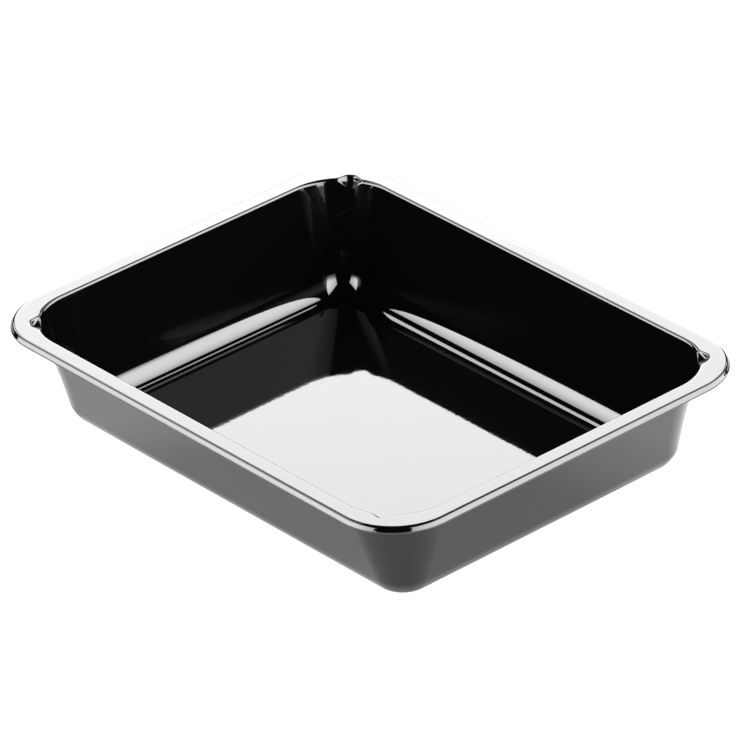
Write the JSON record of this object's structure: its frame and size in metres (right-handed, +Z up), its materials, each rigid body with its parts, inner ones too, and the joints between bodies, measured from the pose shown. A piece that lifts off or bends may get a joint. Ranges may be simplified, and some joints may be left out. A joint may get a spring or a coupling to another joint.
{
  "type": "plastic meal tray",
  "caption": "Rectangular black plastic meal tray with sloping walls, a flat rim with a rolled lip and a denesting pocket in each corner.",
  "frame": {"origin": "on the underside, below the middle of the floor", "axes": "+X along the long side, +Y across the tray, +Z up, out of the open side"},
  "size_m": [0.2272, 0.1756, 0.043],
  "materials": {
    "black_plastic": "gloss inside, satin outside"
  },
  "bodies": {
    "root": {"tray": "black_plastic"}
  },
  "joints": []
}
